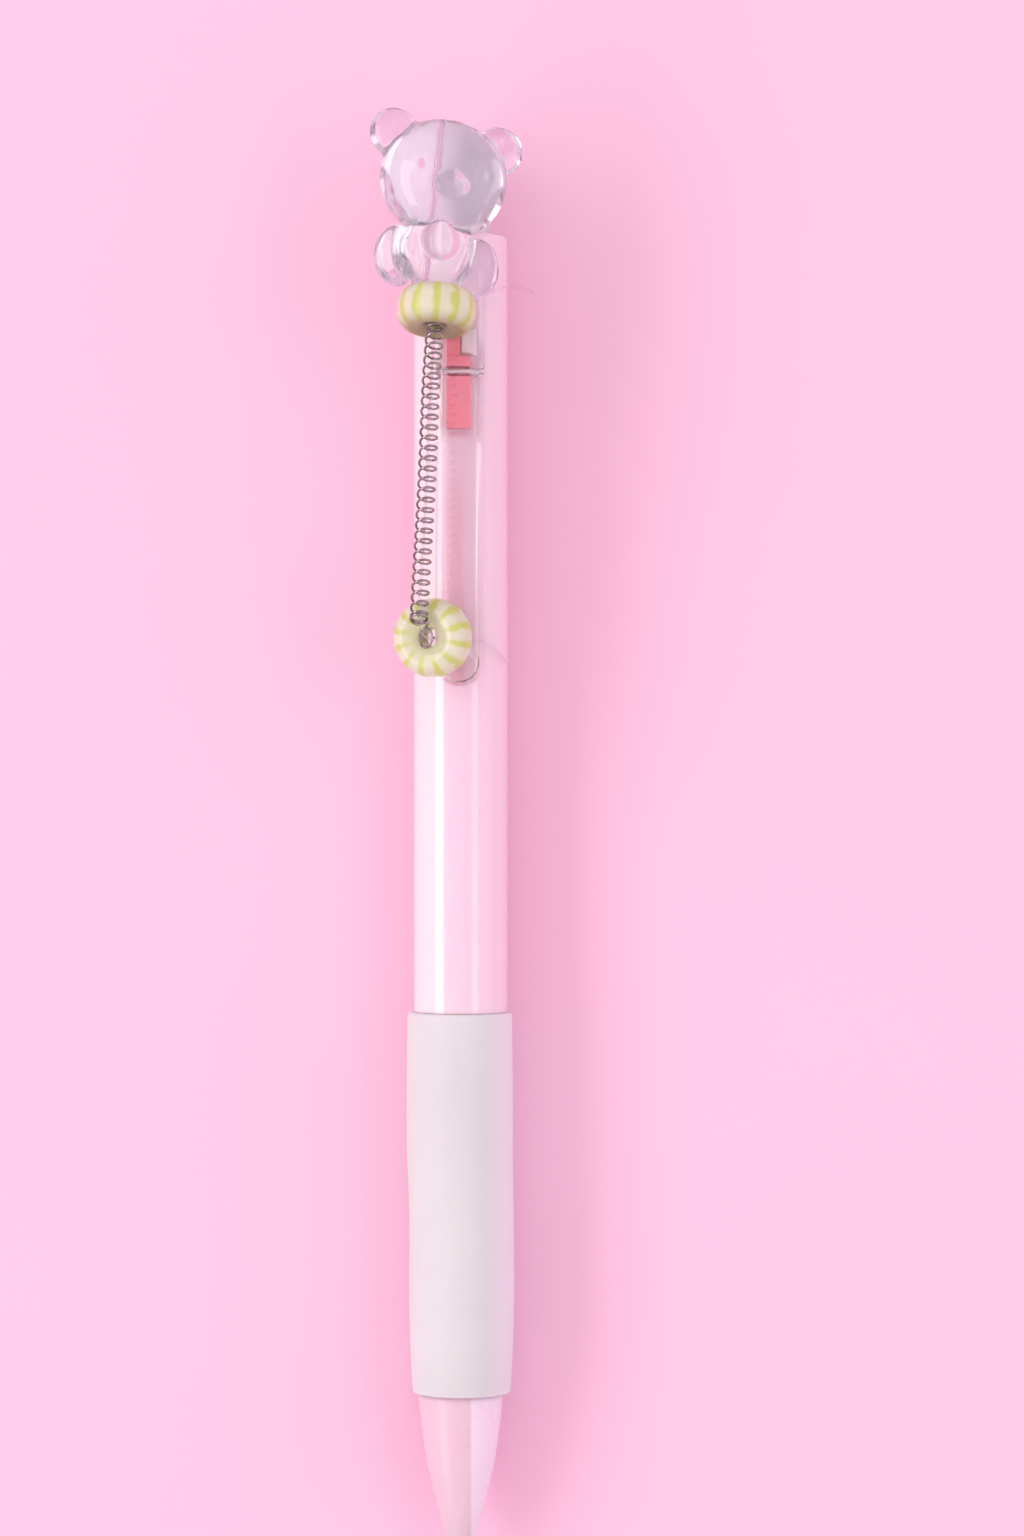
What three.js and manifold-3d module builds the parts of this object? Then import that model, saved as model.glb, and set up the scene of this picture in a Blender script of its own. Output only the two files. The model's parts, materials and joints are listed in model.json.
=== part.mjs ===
// A retractable gel pen with a silicone grip, a sprung clip and a beaded bear charm tied to the clip.
// Millimetres, +Z up. The pen lies on its back: its axis runs along Y with the writing tip towards -Y
// and the clip on top. The origin is on the flat that the grip rests on, close to the grip's middle.
import * as THREE from 'three';
import { mergeVertices } from 'three/addons/utils/BufferGeometryUtils.js';
import Module from 'manifold-3d';

const wasm = await Module();
wasm.setup();

// ---- driving dimensions: radii are measured from the pen's axis, places along Y from the origin ----
const GAP = 0.1;
const ROUND = 16;
const COARSE = 12;

const GRIP_RADIUS = 5.53;
const GRIP_FRONT = -19.5;
const GRIP_REAR = 20.1;
const GRIP_RIM = 0.35;
// The front end's taper, as [how much smaller in radius, how far behind the front].
const GRIP_TAPER = [[0.73, 0], [0.55, 0.5], [0.3, 2], [0, 8]];
const AXIS_Z = GRIP_RADIUS;

const BARREL_RADIUS = 4.9;
const BARREL_BORE = 3.75;
const BARREL_FRONT = GRIP_FRONT + 0.05;
const BARREL_REAR = 100.9;
const BARREL_CHAMFER = 0.4;
const BARREL_LIP = 1.1;
const SLEEVE_SEAT_RADIUS = 4.6;
const BARREL_TOP = AXIS_Z + BARREL_RADIUS;

const CONE_TIP = -37.2;
const CONE_SHOULDER = GRIP_FRONT - 0.15;
const CONE_SPIGOT_REAR = -12.5;
const SPRING_SEAT = -29;
const CONE_OUTLINE = [
  [0.95, CONE_TIP], [1.15, CONE_TIP + 0.25], [1.58, -34.5], [2.3, -31.9], [3.06, -28.9], [3.61, -26.3],
  [4.08, -23], [4.42, CONE_SHOULDER],
];
const CONE_BORE = [
  [3.1, CONE_SPIGOT_REAR], [3.1, -20.8], [2.2, -21.6], [2.2, SPRING_SEAT], [1.4, SPRING_SEAT], [1.35, -33.4],
  [0.85, -36], [0.85, CONE_TIP],
];

const TUBE_RADIUS = 2.9;
const TUBE_BORE = 2.4;
const TUBE_FRONT = -10.4;
const TUBE_REAR = 85.8;
const INK_FRONT = -5.1;
const INK_REAR = 68;
const FOLLOWER_FRONT = 68.2;
const FOLLOWER_REAR = 73;

const NIB_POINT = -35.7;
const NIB_REAR = -22.9;
const NIB_BALL_RADIUS = 0.25;
const NIB_BALL_PLACE = NIB_POINT - 0.28;
const NEEDLE_RADIUS = 0.35;
const NEEDLE_REAR = NIB_POINT + 3;
const NIB_RADIUS = 1;
const NIB_TAPER_REAR = NIB_POINT + 6.8;
const TANG_RADIUS = 0.7;
const TANG_REAR = NIB_REAR + 2.5;

const ADAPTER_NOSE_RADIUS = 1.45;
const ADAPTER_SOCKET_RADIUS = 0.85;
const ADAPTER_SOCKET_REAR = NIB_REAR + 3;
const ADAPTER_SHOULDER = -12;
const ADAPTER_PLUG_REAR = TUBE_FRONT + 5;

const SLEEVE_FRONT = 84.6;
const SLEEVE_REAR = 99.6;
const SLEEVE_SLOT_WIDTH = 1;
const SLEEVE_SLOT_LENGTH = 4;
const CAM_BORE = 3.32;
const CAM_RADIUS = CAM_BORE - GAP;
const CAM_NOTCHES = 4;
const NOTCH_WIDTH = 0.9;
const ROTOR_STEM_RADIUS = 2.6;
const ROTOR_HEAD_FRONT = 87.4;
const ROTOR_REAR = 89.1;
const PLUNGER_FRONT = 89.4;
const PLUNGER_HEAD_REAR = 91.6;
const PLUNGER_STEM_RADIUS = 2.4;
const PLUNGER_REAR = 94.3;

const KNOCK_RADIUS = 2.95;
const KNOCK_FRONT = 94.5;
const KNOCK_TOP = 110.4;
const KNOCK_FLANGE_RADIUS = 3.15;
const KNOCK_FLANGE = [98, 99.3];
const KNOCK_DOME = [[1, 1.3], [0.85, 0.5], [0.5, 0.1], [0, 0]];

const CLIP_WIDTH = 5.1;
const HALF_CLIP = CLIP_WIDTH / 2;
const CLIP_TOP = 13.0;
const CLIP_THICKNESS = 1.6;
const CLIP_CHAMFER = 0.5;
const CLIP_FRONT = 53.95;
const CLIP_REAR = 95.0;
const CLIP_PAD = [[0, 56.4, 11.65], [1.9, 1.95, 1]];
const ROOT_TOP = CLIP_TOP - 0.05;
const ROOT_SIDE = [
  [79, 11.6], [81, 10.55], [88, 10.45], [CLIP_REAR, 11.8], [CLIP_REAR, ROOT_TOP], [79, ROOT_TOP],
];
const CHANNEL_HALF = 1.95;
const CHANNEL_FRONT = 80;
const CHANNEL_CEILING = 12.3;
const PIN_PLACE = [86.3, 11.3];
const PIN_RADIUS = 0.4;
const PIN_HALF_LENGTH = 2.35;

const MOUNT_BASE = BARREL_TOP + 0.12;
const MOUNT_FRONT_BLOCK = [[-1.55, 80.4, MOUNT_BASE], [1.55, 87.9, 11.95]];
const MOUNT_REAR_BLOCK = [[-1.55, 87.8, MOUNT_BASE], [-0.15, 90.7, 11.5]];
const SADDLE_WIDTH = 2 * (PIN_RADIUS + GAP);
const MOUNT_LUG = [[-0.8, 81.8, 9.5], [0.8, 87.2, MOUNT_BASE + GAP]];
const BARREL_SLOT = [[-1.1, 81.5, 7.6], [1.1, 87.5, BARREL_TOP + 1]];
const BARREL_BOSS = [[0.15, 88.2, 9.6], [1.65, 90.9, BARREL_TOP + 0.7]];

const RETURN_COIL = { front: -28.75, rear: -12.25, radius: 1.8, wire: 0.15, turns: 12 };
const CLIP_COIL = { y: 92.2, foot: 10.75, head: 12.0, radius: 0.6, wire: 0.1, turns: 4 };
const CHARM_COIL = { radius: 0.85, wire: 0.13, turns: 29, lean: 0.33 };

// The bear leans back on the knock: its head points along the pen, rolled and turned to the right.
const BEAR_PLACE = new THREE.Vector3(-1.7, 105.6, 14.2);
const BEAR_TURN = new THREE.Euler(
  THREE.MathUtils.degToRad(-13),
  THREE.MathUtils.degToRad(10),
  THREE.MathUtils.degToRad(-5.5),
  'ZXY',
);
const STRING_HOLE_RADIUS = 0.75;
// Balls and ellipsoids that make the bear, each as [centre, radii] from the middle of its head.
const BEAR_LUMPS = [
  [[0, 0, 0], [6.5, 5.9, 5.2]],
  [[0, -1.5, 0.2], [6.75, 4.7, 5]],
  [[0, -1.1, 4.4], [1.8, 1.5, 1.3]],
  [[0, -7.4, 0.2], [5, 4, 4]],
  [[0, -7.4, 3.1], [1.9, 1.9, 1.5]],
];
const BEAR_PAIRED_LUMPS = [
  [[5.4, 4.1, -0.3], [2.6, 2.6, 1.9]],
  [[4.5, -6.8, 1], [2, 2.2, 2.2]],
  [[4.2, -9.4, 0.2], [2.5, 2.2, 2.2]],
];

const BEAD_RADIUS = 4.05;
const BEAD_HALF_THICKNESS = 2.15;
const BEAD_HOLE = 1.1;
const UPPER_BEAD_PLACE = new THREE.Vector3(-2.3, 92, 17.35);
const UPPER_BEAD_TURN = new THREE.Euler(
  THREE.MathUtils.degToRad(-13),
  0,
  THREE.MathUtils.degToRad(-4.5),
  'ZXY',
);
const LOWER_BEAD_PLACE = new THREE.Vector3(-2.72, 58.8, 15.65);
const LOWER_BEAD_LEAN = THREE.MathUtils.degToRad(18);
const EYELET_RADIUS = 1;
const EYELET_PLACE = new THREE.Vector3(-3.4, 58.7, 18.15);
const EYELET_LEAN = 0.75;

const THREAD_RADIUS = 0.14;
const LOWER_TIE = [
  [-2.65, 58.8, 15.4], [-2.15, 58.8, 13.9], [-2.3, 58.75, 13.35], [-2.9, 58.7, 12.85], [-3, 58.65, 12],
  [-2.6, 58.6, 11.2], [-1.4, 58.6, 10.95], [0, 58.6, 10.9], [1.4, 58.6, 10.95], [2.5, 58.5, 10.8],
  [3.3, 58, 10], [4.2, 57.2, 9], [5, 56.4, 7.9],
];
const UPPER_TIE = [
  [-1.6, 94.5, 13.3], [-2.5, 94.5, 13.1], [-2.95, 94.5, 12.3], [-2.9, 94.5, 11.2], [-2.3, 94.5, 10.35],
  [-1.1, 94.5, 10.6], [1.1, 94.5, 10.6], [2.3, 94.5, 10.3], [4, 94.9, 10.2], [5.6, 95.2, 10],
  [7.5, 94.7, 9.6],
];

const ALONG_PEN = new THREE.Vector3(0, 1, 0);

// ---- finishes ----
const FINISH = {
  milkyPink: { color: 0xf6d3e7, roughness: 0.18, metalness: 0 },
  silicone: { color: 0xecdde6, roughness: 0.75, metalness: 0 },
  coneResin: { color: 0xf0c8de, roughness: 0.2, metalness: 0, transparent: true, opacity: 0.8 },
  knockResin: { color: 0xe9e6ea, roughness: 0.3, metalness: 0 },
  camResin: { color: 0xf2f0ee, roughness: 0.5, metalness: 0 },
  clearPink: { color: 0xf3bccb, roughness: 0.08, metalness: 0, transparent: true, opacity: 0.45 },
  coral: { color: 0xfa7891, roughness: 0.35, metalness: 0 },
  steel: { color: 0xc9c6c4, roughness: 0.22, metalness: 1 },
  tungsten: { color: 0x8f8f92, roughness: 0.15, metalness: 1 },
  tube: { color: 0xf4f4f2, roughness: 0.3, metalness: 0, transparent: true, opacity: 0.6 },
  ink: { color: 0x15151c, roughness: 0.3, metalness: 0 },
  grease: { color: 0xdfe3c8, roughness: 0.2, metalness: 0, transparent: true, opacity: 0.7 },
  clearAcrylic: { color: 0xf4e3ee, roughness: 0.04, metalness: 0, transparent: true, opacity: 0.4 },
  stripedResin: { color: 0xeee6d2, roughness: 0.3, metalness: 0 },
  nylon: { color: 0xf4eef4, roughness: 0.15, metalness: 0, transparent: true, opacity: 0.6 },
};

const pen = new THREE.Group();
const axle = new THREE.Group();
axle.position.z = AXIS_Z;
pen.add(axle);

function addPart(name, geometry, finish, parent = pen) {
  const mesh = new THREE.Mesh(geometry, new THREE.MeshStandardMaterial(finish));
  mesh.name = name;
  parent.add(mesh);
  return mesh;
}

// ---- shapes ----

// A body turned about Y from [radius, y] points. Its flats touch the stated radius, one faces down.
function turned(profile, sides = ROUND) {
  const grow = 1 / Math.cos(Math.PI / sides);
  const points = profile.map(([radius, y]) => new THREE.Vector2(radius * grow, y));
  return new THREE.LatheGeometry(points, sides, Math.PI / sides);
}

// A turned tube: the outside from front to rear, then the bore from rear to front.
function turnedTube(outside, bore, sides = ROUND) {
  return turned([...outside, ...bore, outside[0]], sides);
}

function box(low, high) {
  const size = high.map((value, axis) => value - low[axis]);
  const middle = high.map((value, axis) => (value + low[axis]) / 2);
  return new THREE.BoxGeometry(...size).translate(...middle);
}

function ellipsoid([x, y, z], [rx, ry, rz]) {
  return new THREE.SphereGeometry(1, 12, 8).scale(rx, ry, rz).translate(x, y, z);
}

function rodAlongX([y, z], radius, halfLength) {
  const rod = new THREE.CylinderGeometry(radius, radius, 2 * halfLength, COARSE);
  return rod.rotateZ(Math.PI / 2).translate(0, y, z);
}

// A round wire or thread swept along a curve.
function swept(path, radius, sides, steps) {
  path.arcLengthDivisions = steps * 8;
  const corners = Array.from({ length: sides }, (_, i) => {
    const angle = 2 * Math.PI * (i / sides);
    return new THREE.Vector2(radius * Math.cos(angle), radius * Math.sin(angle));
  });
  return new THREE.ExtrudeGeometry(new THREE.Shape(corners), { steps, extrudePath: path });
}

// A helix wound round a centre line. The lean is how far the top and bottom of a turn slip apart.
class Coil extends THREE.Curve {
  constructor(centreLine, radius, turns, lean) {
    super();
    this.centreLine = centreLine;
    this.radius = radius;
    this.turns = turns;
    this.lean = lean;
  }

  getPoint(t, target = new THREE.Vector3()) {
    const tangent = this.centreLine.getTangentAt(t);
    const side = new THREE.Vector3(1, 0.001, 0.001).cross(tangent).normalize();
    const other = tangent.clone().cross(side);
    const angle = 2 * Math.PI * this.turns * t;
    target.copy(this.centreLine.getPointAt(t));
    target.addScaledVector(side, this.radius * Math.cos(angle));
    target.addScaledVector(tangent, this.lean * Math.cos(angle));
    return target.addScaledVector(other, this.radius * Math.sin(angle));
  }
}

// A wire spring wound round a centre line, with a number of steps to each turn.
function spring(centreLine, { radius, wire, turns, lean = 0 }, sides, stepsPerTurn) {
  return swept(new Coil(centreLine, radius, turns, lean), wire, sides, turns * stepsPerTurn);
}

function threadAlong(points, steps) {
  return swept(new THREE.CatmullRomCurve3(points), THREAD_RADIUS, 6, steps);
}

// ---- joining and cutting ----

function toSolid(geometry) {
  const bare = geometry.clone();
  bare.deleteAttribute('normal');
  bare.deleteAttribute('uv');
  const merged = mergeVertices(bare, 1e-5);
  const corners = merged.index.array;
  const kept = [];
  for (let i = 0; i < corners.length; i += 3) {
    const [a, b, c] = [corners[i], corners[i + 1], corners[i + 2]];
    if (a !== b && b !== c && c !== a) kept.push(a, b, c);
  }
  const vertProperties = merged.attributes.position.array;
  return new wasm.Manifold(new wasm.Mesh({ numProp: 3, vertProperties, triVerts: Uint32Array.from(kept) }));
}

function toGeometry(solid) {
  const { vertProperties, triVerts } = solid.getMesh();
  const geometry = new THREE.BufferGeometry();
  geometry.setAttribute('position', new THREE.BufferAttribute(vertProperties, 3));
  geometry.setIndex(new THREE.BufferAttribute(triVerts, 1));
  geometry.computeVertexNormals();
  return geometry;
}

function combine(joined, cut = []) {
  let solid = toSolid(joined[0]);
  for (const geometry of joined.slice(1)) solid = solid.add(toSolid(geometry));
  for (const geometry of cut) solid = solid.subtract(toSolid(geometry));
  return toGeometry(solid);
}

// ---- barrel, grip and cone ----

// One tube: thinner under the grip, with a lip that keeps the knock in and a boss for the clip.
function barrel() {
  const outside = [
    [SLEEVE_SEAT_RADIUS, BARREL_FRONT],
    [SLEEVE_SEAT_RADIUS, GRIP_REAR + GAP],
    [BARREL_RADIUS, GRIP_REAR + GAP],
    [BARREL_RADIUS, BARREL_REAR - BARREL_CHAMFER],
    [BARREL_RADIUS - BARREL_CHAMFER, BARREL_REAR],
  ];
  const bore = [
    [KNOCK_RADIUS + GAP, BARREL_REAR],
    [KNOCK_RADIUS + GAP, BARREL_REAR - BARREL_LIP],
    [BARREL_BORE, BARREL_REAR - BARREL_LIP],
    [BARREL_BORE, BARREL_FRONT],
  ];
  const tube = turnedTube(outside, bore).translate(0, 0, AXIS_Z);
  return combine([tube, box(...BARREL_BOSS)], [box(...BARREL_SLOT)]);
}

function gripSleeve() {
  const front = GRIP_TAPER.map(([smaller, behind]) => [GRIP_RADIUS - smaller, GRIP_FRONT + behind]);
  const outside = [
    ...front,
    [GRIP_RADIUS, GRIP_REAR - GRIP_RIM],
    [GRIP_RADIUS - GRIP_RIM, GRIP_REAR],
  ];
  const bore = [
    [SLEEVE_SEAT_RADIUS + GAP, GRIP_REAR],
    [SLEEVE_SEAT_RADIUS + GAP, GRIP_FRONT],
  ];
  return turnedTube(outside, bore, COARSE);
}

// A bullet-shaped nose with a threaded spigot behind it and a stepped bore for spring and nib.
function frontCone() {
  const spigot = [
    [BARREL_BORE - GAP, CONE_SHOULDER],
    [BARREL_BORE - GAP, CONE_SPIGOT_REAR],
  ];
  return turnedTube([...CONE_OUTLINE, ...spigot], CONE_BORE);
}

// ---- refill ----

function nibBall() {
  return new THREE.SphereGeometry(NIB_BALL_RADIUS, 12, 8).translate(0, NIB_BALL_PLACE, 0);
}

function metalNib() {
  return turned([
    [0, NIB_POINT],
    [NEEDLE_RADIUS, NIB_POINT],
    [NEEDLE_RADIUS, NEEDLE_REAR],
    [NIB_RADIUS, NIB_TAPER_REAR],
    [NIB_RADIUS, NIB_REAR],
    [TANG_RADIUS, NIB_REAR],
    [TANG_RADIUS, TANG_REAR],
    [0, TANG_REAR],
  ], COARSE);
}

function refillAdapter() {
  return turned([
    [0, ADAPTER_SOCKET_REAR],
    [ADAPTER_SOCKET_RADIUS, ADAPTER_SOCKET_REAR],
    [ADAPTER_SOCKET_RADIUS, NIB_REAR + GAP],
    [ADAPTER_NOSE_RADIUS, NIB_REAR + GAP],
    [ADAPTER_NOSE_RADIUS, ADAPTER_SHOULDER],
    [TUBE_RADIUS, ADAPTER_SHOULDER],
    [TUBE_RADIUS, TUBE_FRONT - GAP],
    [TUBE_BORE - GAP, TUBE_FRONT - GAP],
    [TUBE_BORE - GAP, ADAPTER_PLUG_REAR],
    [0, ADAPTER_PLUG_REAR],
  ], COARSE);
}

function refillTube() {
  const outside = [[TUBE_RADIUS, TUBE_FRONT], [TUBE_RADIUS, TUBE_REAR]];
  return turnedTube(outside, [[TUBE_BORE, TUBE_REAR], [TUBE_BORE, TUBE_FRONT]], COARSE);
}

function filling(front, rear) {
  const radius = TUBE_BORE - GAP;
  return turned([[0, front], [radius, front], [radius, rear], [0, rear]], COARSE);
}

// ---- knock mechanism ----

// Square prisms laid across the axis; each cuts two V notches in the end of a cam.
function crownCutters(y) {
  return Array.from({ length: CAM_NOTCHES }, (_, i) => {
    const prism = new THREE.BoxGeometry(NOTCH_WIDTH, NOTCH_WIDTH, 4 * CAM_BORE).rotateZ(Math.PI / 4);
    return prism.translate(0, y, 0).rotateY((i + 0.5) * Math.PI / CAM_NOTCHES);
  });
}

// The guide tube inside the barrel, with four slots in its front end.
function camSleeve() {
  const radius = BARREL_BORE - GAP;
  const outside = [[radius, SLEEVE_FRONT], [radius, SLEEVE_REAR]];
  const tube = turnedTube(outside, [[CAM_BORE, SLEEVE_REAR], [CAM_BORE, SLEEVE_FRONT]]);
  const slots = [0, 1].map((i) => {
    const slot = new THREE.BoxGeometry(SLEEVE_SLOT_WIDTH, 2 * SLEEVE_SLOT_LENGTH, 4 * CAM_BORE);
    return slot.translate(0, SLEEVE_FRONT, 0).rotateY(i * Math.PI / 2);
  });
  return combine([tube], slots);
}

function plungerCam() {
  const plunger = turned([
    [0, PLUNGER_FRONT],
    [CAM_RADIUS, PLUNGER_FRONT],
    [CAM_RADIUS, PLUNGER_HEAD_REAR],
    [PLUNGER_STEM_RADIUS, PLUNGER_HEAD_REAR + 0.3],
    [PLUNGER_STEM_RADIUS, PLUNGER_REAR],
    [0, PLUNGER_REAR],
  ]);
  return combine([plunger], crownCutters(PLUNGER_FRONT));
}

function rotorCam() {
  const rotor = turned([
    [0, TUBE_REAR + GAP],
    [ROTOR_STEM_RADIUS, TUBE_REAR + GAP],
    [ROTOR_STEM_RADIUS, ROTOR_HEAD_FRONT],
    [CAM_RADIUS, ROTOR_HEAD_FRONT + 0.2],
    [CAM_RADIUS, ROTOR_REAR],
    [0, ROTOR_REAR],
  ]);
  return combine([rotor], crownCutters(ROTOR_REAR));
}

function knockButton() {
  const [flangeFront, flangeRear] = KNOCK_FLANGE;
  return turned([
    [0, KNOCK_FRONT],
    [KNOCK_RADIUS, KNOCK_FRONT],
    [KNOCK_RADIUS, flangeFront],
    [KNOCK_FLANGE_RADIUS, flangeFront],
    [KNOCK_FLANGE_RADIUS, flangeRear],
    [KNOCK_RADIUS, flangeRear],
    ...KNOCK_DOME.map(([share, below]) => [KNOCK_RADIUS * share, KNOCK_TOP - below]),
  ]);
}

// ---- clip and its mount ----

// Bar with a round front end and chamfered edges.
function clipArm() {
  const outline = new THREE.Shape();
  outline.moveTo(-HALF_CLIP, CLIP_REAR);
  outline.lineTo(-HALF_CLIP, CLIP_FRONT + HALF_CLIP);
  outline.absarc(0, CLIP_FRONT + HALF_CLIP, HALF_CLIP, Math.PI, 2 * Math.PI);
  outline.lineTo(HALF_CLIP, CLIP_REAR);
  const bar = new THREE.ExtrudeGeometry(outline, {
    depth: CLIP_THICKNESS - 2 * CLIP_CHAMFER,
    bevelThickness: CLIP_CHAMFER,
    bevelSize: 2 * CLIP_CHAMFER,
    bevelOffset: -2 * CLIP_CHAMFER,
    bevelSegments: 1,
    curveSegments: 10,
  });
  return bar.translate(0, 0, CLIP_TOP - CLIP_THICKNESS + CLIP_CHAMFER);
}

// The root's two cheeks and thumb lever, as one side outline pulled across the clip's width.
function clipRoot() {
  const side = new THREE.Shape(ROOT_SIDE.map(([y, z]) => new THREE.Vector2(y, z)));
  const block = new THREE.ExtrudeGeometry(side, { depth: CLIP_WIDTH, bevelEnabled: false });
  return block.rotateY(Math.PI / 2).rotateX(Math.PI / 2).translate(-HALF_CLIP, 0, 0);
}

const pinHole = () => rodAlongX(PIN_PLACE, PIN_RADIUS + GAP, CLIP_WIDTH);

function clip() {
  const channel = box([-CHANNEL_HALF, CHANNEL_FRONT, AXIS_Z], [CHANNEL_HALF, CLIP_REAR + 1, CHANNEL_CEILING]);
  return combine([clipArm(), clipRoot(), ellipsoid(...CLIP_PAD)], [channel, pinHole()]);
}

// An L-shaped bracket with an open saddle for the pin and a lug that sits in the barrel's slot.
function clipMount() {
  const [y, z] = PIN_PLACE;
  const saddle = new THREE.BoxGeometry(CLIP_WIDTH, SADDLE_WIDTH, CLIP_TOP).translate(0, y, z + CLIP_TOP / 2);
  return combine([box(...MOUNT_FRONT_BLOCK), box(...MOUNT_REAR_BLOCK), box(...MOUNT_LUG)], [pinHole(), saddle]);
}

function clipSpring() {
  const { y, foot, head } = CLIP_COIL;
  const centreLine = new THREE.LineCurve3(new THREE.Vector3(0, y, foot), new THREE.Vector3(0, y, head));
  return spring(centreLine, CLIP_COIL, 5, 10);
}

// ---- charm ----

function bear() {
  const mirrored = BEAR_PAIRED_LUMPS.map(([[x, y, z], radii]) => [[-x, y, z], radii]);
  const lumps = [...BEAR_LUMPS, ...BEAR_PAIRED_LUMPS, ...mirrored];
  const stringHole = new THREE.CylinderGeometry(STRING_HOLE_RADIUS, STRING_HOLE_RADIUS, 30, COARSE);
  return combine(lumps.map(([centre, radii]) => ellipsoid(centre, radii)), [stringHole]);
}

const BEAR_ROTATION = new THREE.Quaternion().setFromEuler(BEAR_TURN);
const onStrand = (y) => new THREE.Vector3(0, y, 0).applyQuaternion(BEAR_ROTATION).add(BEAR_PLACE);
const STRAND_DIRECTION = new THREE.Vector3(0, -1, 0).applyEuler(UPPER_BEAD_TURN);

// A fat ring bead with a nearly elliptical section and a straight hole.
function ringBead() {
  const steps = 10;
  const middle = (BEAD_RADIUS + BEAD_HOLE) / 2;
  const reach = BEAD_RADIUS - middle;
  const profile = Array.from({ length: steps + 1 }, (_, i) => {
    const angle = Math.PI * (i / steps - 0.5);
    const swell = Math.sign(Math.sin(angle)) * Math.abs(Math.sin(angle)) ** 0.8;
    return [middle + reach * Math.cos(angle), BEAD_HALF_THICKNESS * swell];
  });
  const boreEnd = BEAD_HALF_THICKNESS * 0.7;
  return turnedTube(profile, [[BEAD_HOLE, boreEnd], [BEAD_HOLE, -boreEnd]], 24);
}

function eyelet() {
  return new THREE.TorusGeometry(EYELET_RADIUS, CHARM_COIL.wire, 6, 16).rotateX(Math.PI / 2);
}

function facing(mesh, place, direction) {
  mesh.position.copy(place);
  mesh.quaternion.setFromUnitVectors(ALONG_PEN, direction);
}

// A direction in the XZ plane that leans left of straight up.
const leaning = (angle) => new THREE.Vector3(-Math.sin(angle), 0, Math.cos(angle));

const COIL_LINE = new THREE.CatmullRomCurve3([
  UPPER_BEAD_PLACE.clone().addScaledVector(STRAND_DIRECTION, BEAD_HALF_THICKNESS + 0.4),
  new THREE.Vector3(-2.85, 84.5, 18.7),
  new THREE.Vector3(-3.2, 76, 18.95),
  new THREE.Vector3(-3.65, 68, 18.8),
  new THREE.Vector3(-4.1, 60.5, 18.55),
]);

// The thread from inside the bear's head, through the upper bead and the coil, to the lower bead.
function strandThread() {
  return threadAlong([
    onStrand(5),
    onStrand(-4),
    onStrand(-11),
    UPPER_BEAD_PLACE,
    ...[0.02, 0.25, 0.5, 0.75, 0.97].map((t) => COIL_LINE.getPointAt(t)),
    new THREE.Vector3(-3.7, 59.2, 18.35),
    new THREE.Vector3(-3.3, 58.8, 17.4),
    new THREE.Vector3(-2.85, 58.8, 15.9),
  ], 64);
}

const asVectors = (points) => points.map((point) => new THREE.Vector3(...point));

// ---- assembly ----

function addShell() {
  addPart('barrel', barrel(), FINISH.milkyPink);
  addPart('grip_sleeve', gripSleeve(), FINISH.silicone, axle);
  addPart('front_cone', frontCone(), FINISH.coneResin, axle);
}

function addRefill() {
  addPart('nib_ball', nibBall(), FINISH.tungsten, axle);
  addPart('metal_nib', metalNib(), FINISH.steel, axle);
  addPart('refill_adapter', refillAdapter(), FINISH.camResin, axle);
  addPart('refill_tube', refillTube(), FINISH.tube, axle);
  addPart('ink_column', filling(INK_FRONT, INK_REAR), FINISH.ink, axle);
  addPart('ink_follower', filling(FOLLOWER_FRONT, FOLLOWER_REAR), FINISH.grease, axle);
  const [front, rear] = asVectors([[0, RETURN_COIL.front, 0], [0, RETURN_COIL.rear, 0]]);
  addPart('return_spring', spring(new THREE.LineCurve3(front, rear), RETURN_COIL, 5, 12), FINISH.steel, axle);
}

function addMechanism() {
  addPart('cam_sleeve', camSleeve(), FINISH.camResin, axle);
  addPart('rotor_cam', rotorCam(), FINISH.camResin, axle);
  addPart('plunger_cam', plungerCam(), FINISH.camResin, axle);
  addPart('knock_button', knockButton(), FINISH.knockResin, axle);
}

function addClip() {
  addPart('clip', clip(), FINISH.clearPink);
  addPart('clip_mount', clipMount(), FINISH.coral);
  addPart('clip_pin', rodAlongX(PIN_PLACE, PIN_RADIUS, PIN_HALF_LENGTH), FINISH.steel);
  addPart('clip_spring', clipSpring(), FINISH.steel);
}

function addCharm() {
  const bearMesh = addPart('bear_bead', bear(), FINISH.clearAcrylic);
  bearMesh.position.copy(BEAR_PLACE);
  bearMesh.quaternion.copy(BEAR_ROTATION);
  const upperBead = addPart('upper_bead', ringBead(), FINISH.stripedResin);
  facing(upperBead, UPPER_BEAD_PLACE, STRAND_DIRECTION);
  const lowerBead = addPart('lower_bead', ringBead(), FINISH.stripedResin);
  facing(lowerBead, LOWER_BEAD_PLACE, leaning(LOWER_BEAD_LEAN));
  facing(addPart('bead_eyelet', eyelet(), FINISH.steel), EYELET_PLACE, leaning(EYELET_LEAN));
  addPart('charm_spring', spring(COIL_LINE, CHARM_COIL, 6, 10), FINISH.steel);
  addPart('strand_thread', strandThread(), FINISH.nylon);
  addPart('lower_tie_thread', threadAlong(asVectors(LOWER_TIE), 36), FINISH.nylon);
  addPart('upper_tie_thread', threadAlong(asVectors(UPPER_TIE), 32), FINISH.nylon);
}

addShell();
addRefill();
addMechanism();
addClip();
addCharm();

export default pen;
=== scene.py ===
"""A retractable gel pen with a silicone grip, a clear clip, and a charm of a clear bear and two beads."""

import json
import math

import bmesh
import bpy
from mathutils import Matrix, Vector

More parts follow.
